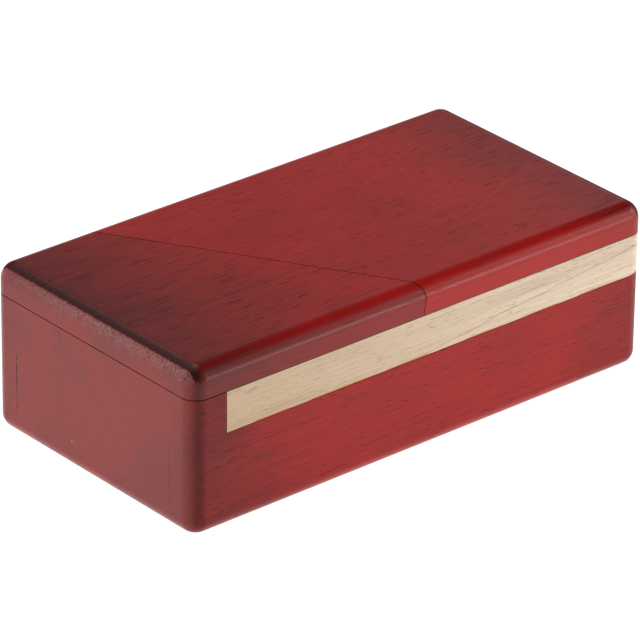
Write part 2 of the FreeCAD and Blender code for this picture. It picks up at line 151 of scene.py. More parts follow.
# %% Sums, steps and mixes
MIX_FACTOR, MIX_FIRST, MIX_SECOND, MIX_RESULT = 0, 6, 7, 2


def sums(tree, operation, first, second=0.0, third=0.0, clamp=False):
    """Result of one Math node."""
    inputs = {0: first, 1: second, 2: third}
    return add(tree, "Math", inputs, operation=operation, use_clamp=clamp).outputs[0]


def vectors(tree, operation, first, second=(0.0, 0.0, 0.0)):
    """Result of one Vector Math node that gives a vector."""
    return add(tree, "VectorMath", {0: first, 1: second}, operation=operation).outputs["Vector"]


def ramp(tree, value, low, high, to_low=0.0, to_high=1.0):
    """Smooth step of a value from one range to another; it falls where low is above high."""
    inputs = {"Value": value, "From Min": low, "From Max": high,
              "To Min": to_low, "To Max": to_high}
    return add(tree, "MapRange", inputs, interpolation_type="SMOOTHSTEP").outputs["Result"]


def blend(tree, factor, first, second):
    """Colour between two colours: the first at factor 0, the second at 1."""
    inputs = {MIX_FACTOR: factor, MIX_FIRST: first, MIX_SECOND: second}
    return add(tree, "Mix", inputs, data_type="RGBA").outputs[MIX_RESULT]


print("helpers for sums, steps and mixes ready")

# %% [markdown]
# ## Shorter words for common steps
# Wood is mostly noise, products of masks and weighted sums. Each of these could be spelled out with
# the helpers above every time, but a word of its own keeps the lines about the wood itself short.

# %% Common steps


def noise(tree, place, scale, detail, roughness=0.5):
    """Value of a cloudy noise, from 0 to 1."""
    inputs = {"Vector": place, "Scale": scale, "Detail": detail, "Roughness": roughness}
    return add(tree, "TexNoise", inputs).outputs["Fac"]


def cells(tree, place, scale=1.0):
    """Field of cells: distance from the nearest cell's middle, and three chances per cell."""
    made = add(tree, "TexVoronoi", {"Vector": place, "Scale": scale})
    chances = add(tree, "SeparateColor", {"Color": made.outputs["Color"]}).outputs
    return made.outputs["Distance"], chances


def split(tree, vector):
    """The three parts of a vector."""
    return add(tree, "SeparateXYZ", {0: vector}).outputs


def product(tree, first, *others):
    """Sockets or values multiplied together."""
    for other in others:
        first = sums(tree, "MULTIPLY", first, other)
    return first


def weigh_in(tree, base, value, weight, clamp=False):
    """A base with a weighted value added to it."""
    return sums(tree, "MULTIPLY_ADD", value, weight, base, clamp=clamp)


def stretched(tree, place, size):
    """Coordinates in which one step is the given size in millimetres."""
    return vectors(tree, "MULTIPLY", place, tuple(1 / side for side in size))


print("helpers for common steps ready")

# %% [markdown]
# ## Node groups
# The grain and the masks of the stain are shared by several finishes. Their nodes could be repeated
# in every material, but a node group holds them once, and a change to it reaches all of them. A
# group needs named sockets on both sides, and inside it one node for what comes in and one for what
# goes out.

# %% Node groups


def new_group(name, inputs, outputs):
    """Empty node group with value or vector sockets, and the sockets of its two end nodes."""
    kinds = {"value": "NodeSocketFloat", "vector": "NodeSocketVector"}
    group = bpy.data.node_groups.new(name, "ShaderNodeTree")
    for label, kind in inputs.items():
        group.interface.new_socket(label, in_out="INPUT", socket_type=kinds[kind])
    for label, kind in outputs.items():
        group.interface.new_socket(label, in_out="OUTPUT", socket_type=kinds[kind])
    start = group.nodes.new("NodeGroupInput")
    end = group.nodes.new("NodeGroupOutput")
    return group, start.outputs, end.inputs


def use_group(tree, group, inputs):
    """A group placed in a tree, with its inputs by name."""
    return add(tree, "Group", inputs, node_tree=group).outputs


print("helpers for groups ready")

# %% [markdown]
# ## Vessels
# Open-pored hardwood is full of vessels, thin tubes along the grain that the saw cuts open. Here
# they run along the box. A scanned picture could show them on one face, but it could not follow the
# corners. A field of stretched cells in three dimensions does. Only a share of the cells holds a
# vessel, and each row of cells is staggered, so that the dashes don't line up in columns.

# %% Vessels
WANDER_SCALE = 0.02
WANDER = (0.0, 2.0, 2.0)
VESSEL_STAGGER = (0.37, 0.61)
VESSEL_EDGE = (0.34, 0.22)
FAINTEST_VESSEL = 0.35


def bend_grain(group, place):
    """The place, moved a little across the grain so that no line is quite straight."""
    drift = add(group, "TexNoise", {"Vector": place, "Scale": WANDER_SCALE, "Detail": 1.0})
    wander = vectors(group, "SUBTRACT", drift.outputs["Color"], (0.5, 0.5, 0.5))
    return vectors(group, "ADD", place, vectors(group, "MULTIPLY", wander, WANDER))


def cut_vessels(group, grain, length, spacing, share):
    """Mask of the vessels: some of the cells, each with its own depth."""
    along = sums(group, "DIVIDE", 1.0, length)
    across = sums(group, "DIVIDE", 1.0, spacing)
    shrink = add(group, "CombineXYZ", {"X": along, "Y": across, "Z": across}).outputs[0]
    x, y, z = split(group, vectors(group, "MULTIPLY", grain, shrink))
    y_stagger, z_stagger = VESSEL_STAGGER
    stagger = weigh_in(group, product(group, z, z_stagger), y, y_stagger)
    row = {"X": sums(group, "ADD", x, stagger), "Y": y, "Z": z}
    distance, chances = cells(group, add(group, "CombineXYZ", row).outputs[0])
    kept = sums(group, "LESS_THAN", chances["Red"], share)
    depth = ramp(group, chances["Green"], 0.0, 1.0, FAINTEST_VESSEL)
    return product(group, ramp(group, distance, *VESSEL_EDGE), kept, depth)


print("grain wanders up to", max(WANDER) / 2, "mm to each side")

# %% [markdown]
# ## The figure of wood
# Besides its vessels, wood shows long soft streaks and broad bands from the growth rings, and on
# the ends the tubes are cut across into dots. All of this could be mixed into each colour, but the
# gloss and the dents need the same figure. So the group gives out one mask for each of them. The
# sizes are in millimetres along the box, across it and up.

# %% Wood figure group
TUBE_SIZE = (20.0, 0.6, 0.6)
TUBE_EDGE = (0.22, 0.10)
TUBE_CHANCE = (0.2, 0.9)
STREAK_SIZE = (50.0, 0.3, 0.3)
BAND_SIZE = (140.0, 6.0, 6.0)


def make_wood_figure():
    """Group: millimetre coordinates in, masks of the vessels, streaks and bands out."""
    group, given, result = new_group(
        "wood figure",
        {"Millimetres": "vector", "Vessel Length": "value", "Vessel Spacing": "value",
         "Vessel Share": "value"},
        {"Vessels": "value", "Open Ends": "value", "Streaks": "value", "Bands": "value"},
    )
    grain = bend_grain(group, given["Millimetres"])
    vessels = cut_vessels(group, grain, given["Vessel Length"], given["Vessel Spacing"],
                          given["Vessel Share"])
    distance, chances = cells(group, stretched(group, grain, TUBE_SIZE))
    open_ends = product(group, ramp(group, distance, *TUBE_EDGE),
                        ramp(group, chances["Red"], *TUBE_CHANCE))
    streaks = noise(group, stretched(group, grain, STREAK_SIZE), 1.0, 3.0, 0.6)
    bands = noise(group, stretched(group, grain, BAND_SIZE), 1.0, 2.0)
    group.links.new(vessels, result["Vessels"])
    group.links.new(open_ends, result["Open Ends"])
    group.links.new(streaks, result["Streaks"])
    group.links.new(bands, result["Bands"])
    return group


wood_figure = make_wood_figure()
print("group", wood_figure.name, len(wood_figure.nodes), "nodes")

# %% [markdown]
# ## Where the outside is
# The box was stained after it was glued up, so only its outside is red. The red could be painted on
# by hand, but paint slips off when a board is moved or made anew. Instead, the finish asks at each
# point how far it lies below the rounded outside of the closed box, and which way it faces there. A
# core, smaller by the rounding on every side, answers both.

# %% Measures of the outside
HALF_SIZE = tuple(side / 2 / MM for side in box_size)
CENTRE = tuple((low + high) / 2 / MM for low, high in zip(cad_low, cad_high))
TOP = CENTRE[2] + HALF_SIZE[2]
OUTSIDE_ROUND = 4.0


def measure_outside(group, place):
    """Distance of a point from the core, and the parts of its direction away from it."""
    off_centre = vectors(group, "ABSOLUTE", vectors(group, "SUBTRACT", place, CENTRE))
    core = tuple(half - OUTSIDE_ROUND for half in HALF_SIZE)
    past = vectors(group, "SUBTRACT", off_centre, core)
    beyond = vectors(group, "MAXIMUM", past)
    outer = add(group, "VectorMath", {0: beyond}, operation="LENGTH").outputs["Value"]
    past_x, past_y, past_z = split(group, past)
    widest = sums(group, "MAXIMUM", sums(group, "MAXIMUM", past_x, past_y), past_z)
    distance = sums(group, "ADD", outer, sums(group, "MINIMUM", widest, 0.0))
    return distance, split(group, vectors(group, "NORMALIZE", beyond))


print("stained shell", [round(2 * half, 1) for half in HALF_SIZE], "mm")

# %% [markdown]
# ## Where the ends begin
# The flat ends differ in colour from the long sides. The change could sit on the line where the
# rounding starts, but a hand with a rag leaves no such line. It is ragged, crisp at the upper edge
# of the lid, where the rag turned over, and soft at the upright corners. So two steps, a narrow and
# a wide one, are mixed by how far the surface leans up.

# %% Ends of the outside
RAGGED = 0.16
CRISP_END = (0.62, 0.72)
SOFT_END = (0.50, 0.97)
LID_END = (0.05, 0.30)


def mask_ends(group, place, endwards, skyward):
    """Mask of the flat ends: a crisp edge on the lid's end, a soft one at the upright corners."""
    ragged = noise(group, place, 1.5, 3.0)
    endwards = weigh_in(group, sums(group, "SUBTRACT", endwards, RAGGED / 2), ragged, RAGGED)
    crisp_end = ramp(group, endwards, *CRISP_END)
    soft_end = ramp(group, endwards, *SOFT_END)
    crisper = sums(group, "SUBTRACT", crisp_end, soft_end)
    return weigh_in(group, soft_end, crisper, ramp(group, skyward, *LID_END))


print("ends begin over a rounding of", OUTSIDE_ROUND, "mm")

# %% [markdown]
# ## Where the stain went
# Inside, the wood is bare, with a little bleed at the edges. End grain drinks more stain than long
# grain: on the roundings towards the two ends it has turned nearly brown-black, while the flat ends
# were rubbed back paler. Along their upper edge a pale band is a painted sheen, standing in for the
# light that the rounding catches there. Four masks hold this. They could be made in each finish,
# but all boards of one box share them, so they are one group.

# %% Outside group
BLEED = 1.6
STAIN_EDGE = (OUTSIDE_ROUND - 0.9, OUTSIDE_ROUND - 0.1)
SOAK_TURN = (0.02, 0.45)
SOAK_RISE = (0.1, 0.5, 0.37, 1.0)
SOAK_FOOT = (1.0, 5.0)
# Painted sheen: a pale speckled band along the upper edge of the ends, strongest towards the front.
SHEEN_RISE = (TOP - 3.4, TOP - 1.0)
SHEEN_RAGGED = 2.0
SHEEN_BACK = (HALF_SIZE[1], 0.0, 0.35, 1.0)
SHEEN_SPECKLE = (0.36, 0.60, 0.1, 1.0)


def make_outside():
    """Group: masks of the stained outside, its pale ends, the soaked roundings and a painted sheen.
    """
    group, given, result = new_group(
        "outside", {"Millimetres": "vector"},
        {"Stained": "value", "End": "value", "Soaked": "value", "Painted Sheen": "value"},
    )
    place = given["Millimetres"]
    _, back, height = split(group, place)
    distance, (endwards, _, upright) = measure_outside(group, place)
    bleed = noise(group, place, 0.5, 2.0)
    stained = ramp(group, weigh_in(group, distance, bleed, BLEED), *STAIN_EDGE)
    skyward = product(group, upright, ramp(group, height, CENTRE[2] - 1.0, CENTRE[2] + 1.0))
    end = mask_ends(group, place, endwards, skyward)
    soaked = product(
        group, ramp(group, endwards, *SOAK_TURN), ramp(group, skyward, *SOAK_RISE),
        ramp(group, height, *SOAK_FOOT), sums(group, "SUBTRACT", 1.0, end),
    )
    # Painted sheen along the upper edge of the ends, standing in for light caught on the rounding.
    painted_sheen = product(
        group, ramp(group, weigh_in(group, height, bleed, SHEEN_RAGGED), *SHEEN_RISE),
        ramp(group, back, *SHEEN_BACK), ramp(group, noise(group, place, 2.2, 2.0), *SHEEN_SPECKLE), end,
    )
    group.links.new(stained, result["Stained"])
    group.links.new(end, result["End"])
    group.links.new(soaked, result["Soaked"])
    group.links.new(painted_sheen, result["Painted Sheen"])
    return group


outside = make_outside()
print("group", outside.name, len(outside.nodes), "nodes")

# %% [markdown]
# ## Dust
# A few pale specks lie on the lacquer, as on any box that has been handled. Loose grains could be
# scattered as pieces of their own, but at this size only their colour shows. So each speck is the
# middle of a cell in a sparse field, and only a small share of the cells has one.

# %% Dust group
DUST_SCALE = 0.4
DUST_EDGE = (0.11, 0.05)


def make_dust():
    """Group: millimetre coordinates in, mask of a few specks out."""
    group, given, result = new_group(
        "dust", {"Millimetres": "vector", "Share": "value"}, {"Specks": "value"},
    )
    distance, chances = cells(group, given["Millimetres"], DUST_SCALE)
    kept = sums(group, "LESS_THAN", chances["Blue"], given["Share"])
    specks = product(group, ramp(group, distance, *DUST_EDGE), kept)
    group.links.new(specks, result["Specks"])
    return group


dust = make_dust()
print("group", dust.name, len(dust.nodes), "nodes")

# %% [markdown]
# ## One finish per board
# Boards cut from different planks never share their grain. Each finish could have a figure of its
# own, but it is enough to move the one field of figure by a different offset for each board. The
# offset is in millimetres, because the sizes of wood are easiest to judge in them.

# %% Start of a finish
VESSEL_SPACING = 0.30
CLOUD_SCALE = 0.06


def start_material(name, offset):
    """Material with its shader, and the object's coordinates in millimetres, plain and moved."""
    material = bpy.data.materials.new(name)
    material.use_nodes = True
    tree = material.node_tree
    shader = tree.nodes["Principled BSDF"]
    place = add(tree, "TexCoord").outputs["Object"]
    millimetres = vectors(tree, "MULTIPLY", place, (1 / MM,) * 3)
    moved = vectors(tree, "ADD", millimetres, offset)
    return material, tree, shader, millimetres, moved


def read_board(tree, millimetres, moved, length, share):
    """What the stain on a board depends on: its figure, the masks, soft clouds and the place."""
    along, across, up = split(tree, millimetres)
    return SimpleNamespace(
        figure=use_group(tree, wood_figure, {
            "Millimetres": moved, "Vessel Length": length,
            "Vessel Spacing": VESSEL_SPACING, "Vessel Share": share,
        }),
        masks=use_group(tree, outside, {"Millimetres": millimetres}),
        clouds=noise(tree, moved, CLOUD_SCALE, 3.0),
        moved=moved, along=along, across=across, up=up,
    )


print("vessels every", VESSEL_SPACING, "mm")

# %% [markdown]
# ## Red long grain
# The stain is a translucent red. Streaks and vessels hold more of it, so they are darker. Towards
# the two ends of a board the red is darker still by painted shade, standing in for the light that
# falls off towards the ends and around the upright corners. A dark wash over a plain red could give
# the same colour, but it would not follow the grain. So one shade is added up from all of these and
# then mixes a clear red with a dark one. A lid piece may have another red on the strip above the
# bar.

# %% Long grain
RED_STAIN = (0.440, 0.0078, 0.0055, 1.0)
DARK_STAIN = (0.060, 0.0030, 0.0025, 1.0)
STREAK_RANGE = (0.50, 0.66)
BAND_WEIGHT = 0.15
CLOUD_RANGE = (0.35, 0.75)
CLOUD_WEIGHT = 0.12
END_SHADE_RANGE = (36.0, 66.0)
LEFT_RANGE = (-10.0, -54.0)
FRONT_STRIP = (-33.0, -34.6)


def shade_grain(tree, board, streaks, vessels):
    """Darkness of the grain, without and with its vessels, which come second."""
    shade = ramp(tree, board.figure["Streaks"], *STREAK_RANGE, 0.0, streaks)
    shade = weigh_in(tree, shade, board.figure["Bands"], BAND_WEIGHT)
    shade = weigh_in(tree, shade, ramp(tree, board.clouds, *CLOUD_RANGE), CLOUD_WEIGHT)
    return shade, product(tree, board.figure["Vessels"], vessels)


def stain_long_grain(tree, board, shade, pores, end_shade, left_dark, front):
    """Red of the long faces, darker towards their ends by painted shade."""
    # Painted shade towards both ends of the board.
    toward_end = ramp(tree, sums(tree, "ABSOLUTE", board.along), *END_SHADE_RANGE, 0.0, end_shade)
    toward_left = ramp(tree, board.along, *LEFT_RANGE, 0.0, left_dark)
    toward_end = sums(tree, "ADD", toward_end, toward_left)
    dark = sums(tree, "ADD", sums(tree, "ADD", shade, toward_end), pores, clamp=True)
    red = blend(tree, dark, RED_STAIN, DARK_STAIN)
    if front:
        colour, weight = front
        red = blend(tree, ramp(tree, board.across, *FRONT_STRIP, 0.0, weight), red, colour)
    return red


print("long grain from", RED_STAIN[:3], "to", DARK_STAIN[:3])

# %% [markdown]
# ## The ends
# On the ends the grain is cut across. The stain was rubbed back there, so it is paler and greyer,
# with smudges, and the open tubes show as dark dots. Towards the upright corners the ends turn
# darker by painted shade. Where the walls meet the end blocks, a joint shows as a broken hairline.
# It could be a groove, but the glue fills it to the surface, so a thin dark line in the finish is
# closer to what is there.

# %% Ends
END_STAIN = (0.405, 0.050, 0.043, 1.0)
SMUDGE = (0.230, 0.048, 0.043, 1.0)
SMUDGE_CLOUDS = (0.46, 0.66, 0.0, 0.40)
SMUDGE_MOTTLE = (0.45, 0.68, 0.0, 0.35)
OPEN_END_DARK = 0.6
# Painted shade towards the upright corners of an end.
SIDE_SHADE = (24.0, 34.5, 0.0, 0.18)
JOINT_SIDE = 27.0
HAIRLINE_EDGE = (0.26, 0.12)
HAIRLINE_FOOT = (4.0, 9.0)
HAIRLINE_TOP = (22.6, 19.1)
HAIRLINE_BREAKS = (0.36, 0.5)
HAIRLINE_FAINT = (-20.0, 20.0, 0.4, 1.0)


def draw_hairlines(tree, board, off_middle, joints):
    """Mask of the two upright joints on an end of the box."""
    off_joint = sums(tree, "ABSOLUTE", sums(tree, "SUBTRACT", off_middle, JOINT_SIDE))
    return product(
        tree, ramp(tree, off_joint, *HAIRLINE_EDGE, 0.0, joints),
        ramp(tree, board.up, *HAIRLINE_FOOT), ramp(tree, board.up, *HAIRLINE_TOP),
        ramp(tree, noise(tree, board.moved, 0.8, 2.0), *HAIRLINE_BREAKS),
        ramp(tree, board.across, *HAIRLINE_FAINT),
    )


def stain_ends(tree, board, joints):
    """Colour of the flat ends, with painted shade towards the upright corners."""
    off_middle = sums(tree, "ABSOLUTE", board.across)
    mottle = noise(tree, board.moved, 1.1, 3.0, 0.7)
    smudge = sums(tree, "ADD", ramp(tree, board.clouds, *SMUDGE_CLOUDS),
                  ramp(tree, mottle, *SMUDGE_MOTTLE), clamp=True)
    # Painted shade towards the upright corners, with the dark open tubes.
    dark = weigh_in(tree, ramp(tree, off_middle, *SIDE_SHADE),
                    board.figure["Open Ends"], OPEN_END_DARK)
    dark = sums(tree, "ADD", dark, draw_hairlines(tree, board, off_middle, joints), clamp=True)
    return blend(tree, dark, blend(tree, smudge, END_STAIN, SMUDGE), DARK_STAIN)


# %% [markdown]
# ## Edges and the bare inside
# Soaked edges are nearly black. The pale pink along the upper edge of the ends is a painted sheen,
# and the pale line along the foot is a painted reflection of the white table. Inside, the same wood
# shows its own tan colour with the same grain. The inside could have a material of its own, but the
# stain's edge doesn't run along the edges of a board. One finish with masks lets the bleed cross a
# face wherever it wants.

# %% Edges and inside
# Painted sheen: a pale pink that stands for light caught on the roundings, on the ends and the foot.
PAINTED_SHEEN_COLOUR = (0.450, 0.220, 0.210, 1.0)
SHEEN_WEIGHT = 0.8
SOAKED_STAIN = (0.050, 0.0028, 0.0025, 1.0)
SOAKED_WEIGHT = 0.86
# Painted reflection of the white table along the lowest millimetre of the foot.
FOOT_REFLECTION = (0.9, 0.1, 0.0, 0.3)
BARE_WOOD = (0.60, 0.40, 0.235, 1.0)
BARE_DARK = (0.30, 0.16, 0.08, 1.0)
BARE_CONTRAST = 1.6
BARE_PORES = 0.5
DUST_COLOUR = (0.55, 0.33, 0.28, 1.0)
DUST_SHARE = 0.03


def soak_and_sheen_edges(tree, board, red):
    """The stained colour with its soaked edges, a painted sheen and a painted reflection on the
    foot.
    """
    red = blend(tree, product(tree, board.masks["Painted Sheen"], SHEEN_WEIGHT), red, PAINTED_SHEEN_COLOUR)
    red = blend(tree, product(tree, board.masks["Soaked"], SOAKED_WEIGHT), red, SOAKED_STAIN)
    # Painted reflection of the table on the foot's rounding.
    return blend(tree, ramp(tree, board.up, *FOOT_REFLECTION), red, PAINTED_SHEEN_COLOUR)


def bare_inside(tree, board, shade, pores, red):
    """Bare wood inside, the stained colour outside, and dust on both."""
    dark = weigh_in(tree, product(tree, pores, BARE_PORES), shade, BARE_CONTRAST, clamp=True)
    bare = blend(tree, dark, BARE_WOOD, BARE_DARK)
    wood = blend(tree, board.masks["Stained"], bare, red)
    specks = use_group(tree, dust, {"Millimetres": board.moved, "Share": DUST_SHARE})["Specks"]
    return blend(tree, specks, wood, DUST_COLOUR)


print("bare wood inside", BARE_WOOD[:3])

# %% [markdown]
# ## Lacquer
# A thin satin lacquer lies over the stain. It sinks into the vessels, so they are duller and dent
# the surface, and it is duller on the soaked edges too. Bare wood has none. A separate clear coat
# could be laid over the wood, but a coat this thin only changes the gloss, so the roughness says it
# all. The dents are far finer than any visible shape, and bump is enough for them.

# %% Lacquer
WOOD_SHEEN = 0.26
SATIN = 0.26
STREAK_DULL = 0.12
VESSEL_DULL = 0.6
SOAKED_DULL = 0.3
BARE_DULL = 0.7


def dent_grain(tree, shader, figure, streak_depth, strength, depth):
    """Bump of the vessels, and of the streaks by a share of it."""
    dents = product(tree, figure["Vessels"], -1.0)
    relief = weigh_in(tree, dents, figure["Streaks"], -streak_depth)
    bump = add(tree, "Bump", {"Strength": strength, "Distance": depth, "Height": relief})
    tree.links.new(bump.outputs["Normal"], shader.inputs["Normal"])


def lay_lacquer(tree, shader, board):
    """Gloss of the stained outside and dullness of the bare inside."""
    gloss = sums(tree, "MULTIPLY_ADD", board.figure["Streaks"], STREAK_DULL, SATIN)
    gloss = weigh_in(tree, gloss, board.figure["Vessels"], VESSEL_DULL)
    gloss = weigh_in(tree, gloss, board.masks["Soaked"], SOAKED_DULL)
    bare = sums(tree, "MULTIPLY_ADD", board.masks["Stained"], -BARE_DULL, BARE_DULL)
    tree.links.new(sums(tree, "MAXIMUM", gloss, bare), shader.inputs["Roughness"])
    shader.inputs["Specular IOR Level"].default_value = WOOD_SHEEN


print("lacquer roughness from", SATIN, "on the stain to", BARE_DULL, "on bare wood")

# %% [markdown]
# ## The three stained finishes
# The small lid piece has long vessels and darkens towards its left end, the large one is cleaner
# and redder, and the body has short vessels and the joints on its ends. Three unrelated materials
# could be made, but it is one wood and one stain, so the finish is made once and each board only
# says how it differs: offset, darkness of streaks and vessels, share and length of the vessels, and
# how much painted shade darkens its ends.

# %% Stained wood
DULL_STAIN = (0.190, 0.040, 0.037, 1.0)
FRONT_RED = (0.480, 0.026, 0.022, 1.0)
# Painted shade towards the ends of a board.
END_SHADE = 0.31


def make_stained(name, offset, streaks, vessels, share, length,
                 end_shade=END_SHADE, left_dark=0.0, joints=0.0, front=None):
    """Red stained wood for one board."""
    material, tree, shader, millimetres, moved = start_material(name, offset)
    board = read_board(tree, millimetres, moved, length, share)
    shade, pores = shade_grain(tree, board, streaks, vessels)
    red = stain_long_grain(tree, board, shade, pores, end_shade, left_dark, front)
    red = blend(tree, board.masks["End"], red, stain_ends(tree, board, joints))
    red = soak_and_sheen_edges(tree, board, red)
    colour = bare_inside(tree, board, shade, pores, red)
    tree.links.new(colour, shader.inputs["Base Color"])
    lay_lacquer(tree, shader, board)
    dent_grain(tree, shader, board.figure, streak_depth=0.25, strength=0.3, depth=0.1 * MM)
    return material


stained = {
    "lid_wedge": make_stained(
        "stained wedge", (0.0, 0.0, 0.0), streaks=0.36, vessels=0.90, share=0.40, length=9.0,
        end_shade=0.20, left_dark=0.36, front=(DULL_STAIN, 0.45),
    ),
    "lid_main": make_stained(
        "stained main lid", (40.0, 31.0, 17.0), streaks=0.34, vessels=0.60, share=0.45, length=5.0,
        end_shade=0.40, front=(FRONT_RED, 0.6),
    ),
    # On the body, left_dark is painted shade that darkens it towards its left end.
    "body": make_stained(
        "stained body", (-75.0, 12.0, 53.0), streaks=0.33, vessels=0.85, share=0.26, length=3.5,
        left_dark=0.14, joints=1.0,
    ),
}
print("stained finishes", list(stained))

# %% [markdown]
# ## The pale bar
# The bar was left clear. It is a close-grained pale wood with fine brown flecks and a long line of
# grain that climbs slowly from left to right. Towards its left end it turns darker and browner by
# painted shade. Along its lower edge a thread of stain has crept in.
# The line could be drawn on the front only. Here it is a thin band around a sloping plane, bent by
# noise, so that it goes through the whole bar and shows on every side of it, as real grain does.

# %% Pale wood
PALE_WOOD = (0.88, 0.710, 0.535, 1.0)
PALE_BROWN = (0.34, 0.205, 0.115, 1.0)
# Painted shade: the darker, browner colour towards the left end.
PALE_IN_PAINTED_SHADE = (0.63, 0.425, 0.25, 1.0)
LEFT_SHADE_RANGE = (60.0, -55.0, 0.0, 0.7)
PALE_VESSELS = {"Vessel Length": 3.0, "Vessel Spacing": 0.32, "Vessel Share": 0.5}
PALE_STREAKS = (0.40, 0.75)
PALE_BANDS = (0.45, 0.65)
STREAK_PART, VESSEL_PART, BAND_PART = 0.7, 1.5, 0.4
LONG_LINE_RISE = 0.105
LONG_LINE_BASE = 23.4
LONG_LINE_BEND = 1.6
LONG_LINE_EDGE = (0.30, 0.05)


def colour_pale(tree, figure, moved, along, up, contrast, long_line):
    """Colour of clear wood with its flecks, its long line of grain and painted shade to the left."""
    shade = ramp(tree, figure["Streaks"], *PALE_STREAKS, 0.0, STREAK_PART * contrast)
    shade = weigh_in(tree, shade, figure["Vessels"], VESSEL_PART * contrast)
    bands = ramp(tree, figure["Bands"], *PALE_BANDS)
    shade = weigh_in(tree, shade, bands, BAND_PART * contrast)
    level = sums(tree, "MULTIPLY_ADD", along, LONG_LINE_RISE, LONG_LINE_BASE)
    level = weigh_in(tree, level, noise(tree, moved, 0.05, 2.0), LONG_LINE_BEND)
    off_line = sums(tree, "ABSOLUTE", sums(tree, "SUBTRACT", up, level))
    line = ramp(tree, off_line, *LONG_LINE_EDGE, 0.0, long_line)
    shade = sums(tree, "ADD", shade, line, clamp=True)
    # Painted shade towards the left end.
    clear = blend(tree, ramp(tree, along, *LEFT_SHADE_RANGE), PALE_WOOD, PALE_IN_PAINTED_SHADE)
    return blend(tree, shade, clear, PALE_BROWN)


print("long line climbs", round(LONG_LINE_RISE * 2 * HALF_SIZE[0], 1), "mm along the box")

# %% [markdown]
# ## The clear finishes
# The same clear wood serves the bar and, plainer, the dowels and the runner inside. Two finishes
# could be written out, but only the contrast, the long line and the thread of stain differ, and
# these are given in the call. The thread lies in a thin layer above the bar's lower face, broken
# by noise.

# %% Clear finishes
STAIN_THREAD = (0.66, 0.24, 0.05, 1.0)
BAR_BASE = 23.65
THREAD_EDGE = (0.5, 0.1)
THREAD_BREAKS = (0.38, 0.55)
PALE_SATIN = 0.38
PALE_STREAK_DULL = 0.15


def make_pale(name, offset, contrast, long_line=0.0, thread=0.0):
    """Clear pale wood, with a long grain line and a thread of stain where asked for."""
    material, tree, shader, millimetres, moved = start_material(name, offset)
    figure = use_group(tree, wood_figure, {"Millimetres": moved, **PALE_VESSELS})
    along, _, up = split(tree, millimetres)
    wood = colour_pale(tree, figure, moved, along, up, contrast, long_line)
    above_base = sums(tree, "SUBTRACT", up, BAR_BASE)
    low_edge = product(tree, ramp(tree, above_base, *THREAD_EDGE, 0.0, thread),
                       ramp(tree, noise(tree, moved, 0.12, 2.0), *THREAD_BREAKS))
    tree.links.new(blend(tree, low_edge, wood, STAIN_THREAD), shader.inputs["Base Color"])
    gloss = sums(tree, "MULTIPLY_ADD", figure["Streaks"], PALE_STREAK_DULL, PALE_SATIN)
    tree.links.new(gloss, shader.inputs["Roughness"])
    shader.inputs["Specular IOR Level"].default_value = WOOD_SHEEN
    dent_grain(tree, shader, figure, streak_depth=0.3, strength=0.25, depth=0.06 * MM)
    return material


pale_bar = make_pale("pale bar", (11.0, 7.0, 3.0), contrast=0.48, long_line=0.32, thread=0.9)
bare_wood = make_pale("bare dowel wood", (5.0, 50.0, 20.0), contrast=0.3)
print("clear finishes", pale_bar.name, bare_wood.name)

# %% [markdown]
# ## Steel
# Screws, washer and lock pins are plain bright steel with a faintly clouded surface, as stock parts
# have. One even grey with one gloss would do from afar, but it looks like plastic when a lid is
# open. A fine noise in both the colour and the gloss breaks it up at little cost.

# %% Steel
STEEL_LIGHT = (0.62, 0.62, 0.64, 1.0)
STEEL_DARK = (0.48, 0.48, 0.5, 1.0)
STEEL_GLOSS = 0.22
STEEL_DULL = 0.2


def make_steel(name):
    """Bright steel, clouded a little in its colour and gloss."""
    material, tree, shader, _, moved = start_material(name, (0.0, 0.0, 0.0))
    clouding = noise(tree, moved, 6.0, 2.0)
    tone = blend(tree, clouding, STEEL_LIGHT, STEEL_DARK)
    tree.links.new(tone, shader.inputs["Base Color"])
    gloss = sums(tree, "MULTIPLY_ADD", clouding, STEEL_DULL, STEEL_GLOSS)
    tree.links.new(gloss, shader.inputs["Roughness"])
    shader.inputs["Metallic"].default_value = 1.0
    return material


steel = make_steel("drawn steel")
print("metal", steel.name)

# %% [markdown]
# ## The shape of a board
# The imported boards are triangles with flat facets. The real ones have flat faces, edges eased by a
# hair with sandpaper and smooth roundings. They could be modelled again from their sizes, but a
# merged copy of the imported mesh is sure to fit. Merging joins the triangles, dissolving brings the
# flat faces back, and a narrow bevel eases the sharp edges where an ease is given.

# %% Board shape
MERGE_DISTANCE = 0.001 * MM
FLAT_ANGLE = math.radians(0.5)
EASE_ANGLE = math.radians(40)
SHARP_ANGLE = math.radians(25)
EASE_STEPS = 2


def shape_board(node, ease):
    """Mesh of a board with whole flat faces, eased edges and smooth roundings."""
    shape = bmesh.new()
    shape.from_mesh(frame["nodes"][node].data)
    bmesh.ops.remove_doubles(shape, verts=shape.verts, dist=MERGE_DISTANCE)
    bmesh.ops.dissolve_limit(
        shape, angle_limit=FLAT_ANGLE, verts=shape.verts, edges=shape.edges,
    )
    if ease:
        sharp = [edge for edge in shape.edges if edge.calc_face_angle(0.0) > EASE_ANGLE]
        bmesh.ops.bevel(
            shape, geom=sharp, offset=ease, affect="EDGES", segments=EASE_STEPS, profile=0.5,
            material=-1, clamp_overlap=True,
        )
    for face in shape.faces:
        face.smooth = True
    for edge in shape.edges:
        edge.smooth = edge.calc_face_angle(0.0) < SHARP_ANGLE
    mesh = bpy.data.meshes.new(f"{node}_finished")
    shape.to_mesh(mesh)
    shape.free()
    return mesh


print("edges over", round(math.degrees(EASE_ANGLE)), "degrees are eased")

# %% [markdown]
# ## A finished board
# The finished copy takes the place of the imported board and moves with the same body. Long flat
# faces beside narrow roundings shade unevenly when all faces count the same. More cuts could mend
# that, but a weighted normal modifier lets the large flats decide and adds no faces.

